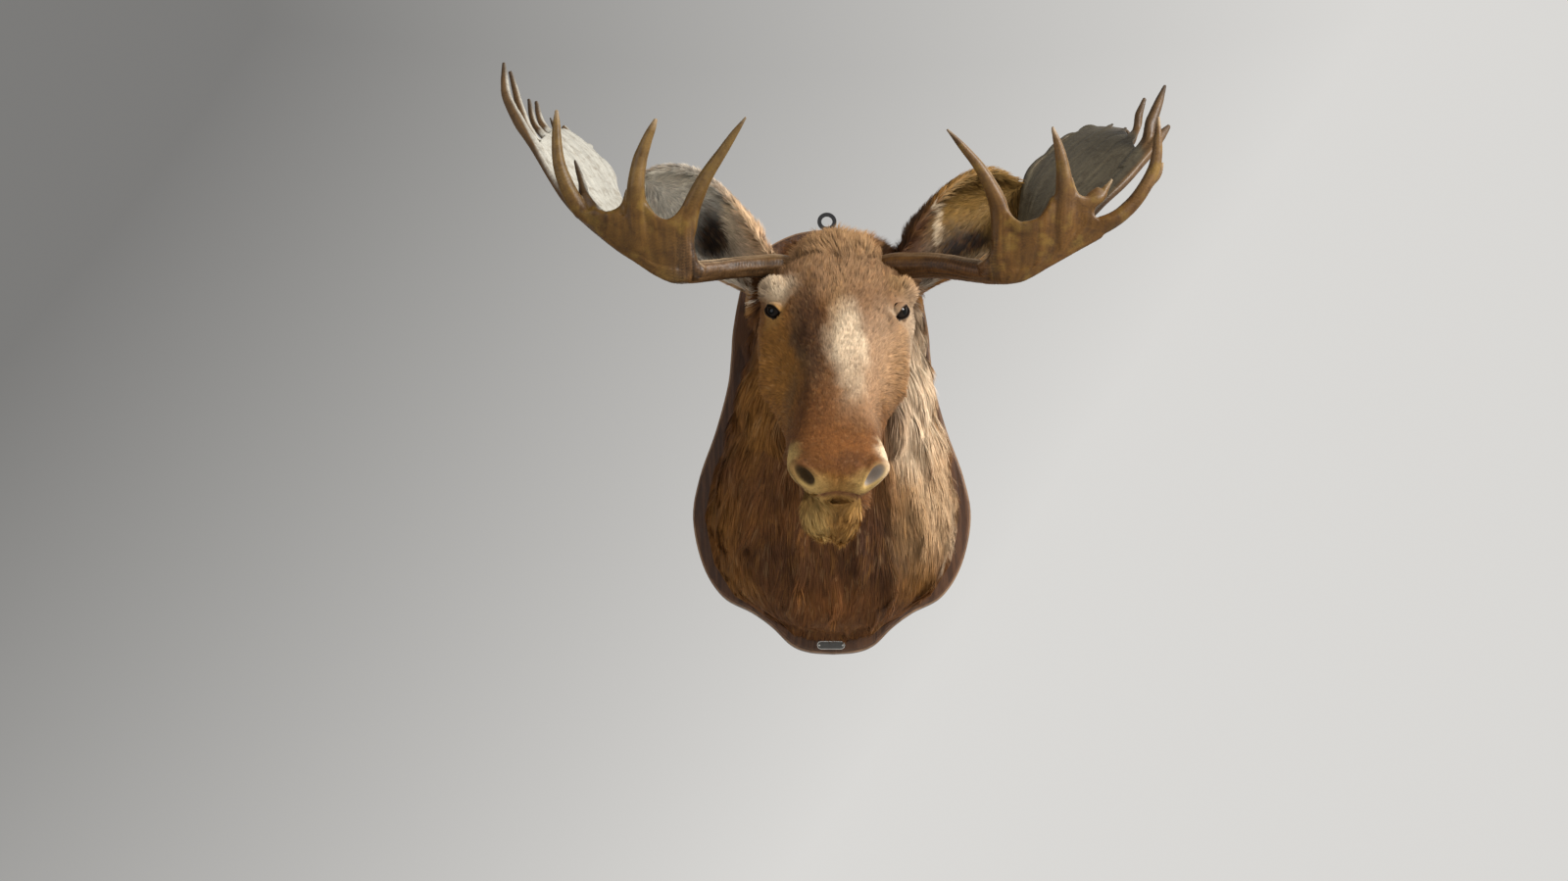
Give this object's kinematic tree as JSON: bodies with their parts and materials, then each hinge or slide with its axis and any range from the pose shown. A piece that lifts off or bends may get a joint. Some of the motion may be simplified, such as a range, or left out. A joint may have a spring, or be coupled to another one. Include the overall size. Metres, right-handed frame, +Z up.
{
  "type": "mounted moose head with antlers",
  "caption": "Moose head and neck with broad palmed antlers, cupped ears and glass eyes, fixed to a moulded wooden wall shield with a hanging ring and a blank nameplate.",
  "frame": {"origin": "middle of the shield's flat back, on the wall plane", "axes": "+Z up, +Y into the wall so that the head looks along -Y, +X to the right of someone facing the head"},
  "size_m": [1.3723, 0.7098, 1.1922],
  "materials": {
    "hide": "short reddish brown hair over tanned hide",
    "eye_glass": "polished dark glass",
    "antler_beam": "matt grooved bone, grey-brown",
    "antler_tines": "matt grooved bone, olive brown",
    "antler_palm": "matt grooved bone, pale grey-brown",
    "shield_wood": "satin varnished dark hardwood",
    "nameplate_metal": "dull silver rim round a dark field",
    "pin_metal": "bright round head",
    "hanger_metal": "black satin paint",
    "screw_metal": "plain steel"
  },
  "bodies": {
    "root": {"head_and_neck_skin": "hide", "eye_left": "eye_glass", "eye_right": "eye_glass", "antler_left_beam": "antler_beam", "antler_left_brow_palm": "antler_tines", "antler_left_main_palm": "antler_palm", "antler_right_beam": "antler_beam", "antler_right_brow_palm": "antler_tines", "antler_right_main_palm": "antler_palm", "shield": "shield_wood", "nameplate": "nameplate_metal", "nameplate_pin_left": "pin_metal", "nameplate_pin_right": "pin_metal", "hanger": "hanger_metal", "hanger_screw_upper": "screw_metal", "hanger_screw_lower": "screw_metal"}
  },
  "joints": []
}
